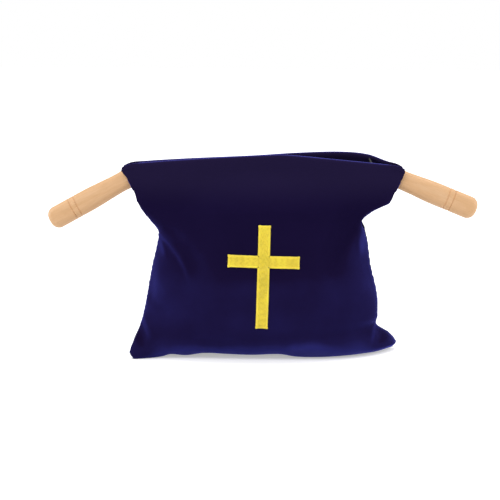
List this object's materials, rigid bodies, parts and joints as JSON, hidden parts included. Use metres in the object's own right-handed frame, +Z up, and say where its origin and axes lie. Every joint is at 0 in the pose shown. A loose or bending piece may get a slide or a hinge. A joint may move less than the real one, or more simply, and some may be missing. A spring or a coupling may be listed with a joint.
{
  "type": "offertory bag",
  "caption": "Velvet collection bag that stands on its bottom, with an embroidered cross, a mouth held by two hinged wire bows, and a turned wooden handle hinged at each end.",
  "frame": {"origin": "centre of the object's box on the surface that the bag stands on", "axes": "+X from the left handle to the right handle as seen from the front, -Y towards the embroidered front, +Z up"},
  "size_m": [0.4398, 0.1041, 0.2071],
  "materials": {
    "velvet": "deep navy pile velvet, dark when seen straight on and blue where it turns away",
    "lining": "thin plain woven lining, dark navy, slight satin sheen",
    "seam_tape": "matt navy seam allowance and thread",
    "embroidery": "yellow rayon satin-stitch thread with a silky sheen",
    "spring_wire": "oil-blackened spring steel wire, slightly glossy",
    "steel": "plain bright steel, small machined fittings",
    "wood": "pale hardwood, turned, with a light satin seal and fine lengthwise grain"
  },
  "bodies": {
    "bag": {"velvet_front": "velvet", "velvet_back": "velvet", "lining_front": "lining", "lining_back": "lining", "left_side_seam": "seam_tape", "right_side_seam": "seam_tape", "bottom_seam": "seam_tape", "cross_fill": "embroidery", "cross_border": "embroidery", "left_fork": "steel", "right_fork": "steel", "left_stud_nut": "steel", "right_stud_nut": "steel", "left_hinge_pin": "steel", "right_hinge_pin": "steel"},
    "front_frame": {"front_bow": "spring_wire", "front_hem": "velvet"},
    "back_frame": {"back_bow": "spring_wire", "back_hem": "velvet"},
    "left_grip": {"left_tang": "steel", "left_handle": "wood"},
    "right_grip": {"right_tang": "steel", "right_handle": "wood"}
  },
  "joints": [
    {"name": "front_opening", "type": "hinge", "parent": "bag", "child": "front_frame", "pos_m": [-0.1295, 0, 0.1845], "axis": [0.9999, 0, 0.0118], "range_deg": [-8, 35], "deforming": ["velvet_front", "lining_front"]},
    {"name": "back_opening", "type": "hinge", "parent": "bag", "child": "back_frame", "pos_m": [-0.1295, 0, 0.1845], "axis": [-0.9999, 0, -0.0118], "range_deg": [-8, 35], "deforming": ["velvet_back", "lining_back"]},
    {"name": "left_handle_droop", "type": "hinge", "parent": "bag", "child": "left_grip", "pos_m": [-0.1295, 0, 0.1845], "axis": [0, 1, 0], "range_deg": [-14, 34]},
    {"name": "right_handle_droop", "type": "hinge", "parent": "bag", "child": "right_grip", "pos_m": [0.1245, 0, 0.1875], "axis": [0, -1, 0], "range_deg": [-14, 34]}
  ]
}
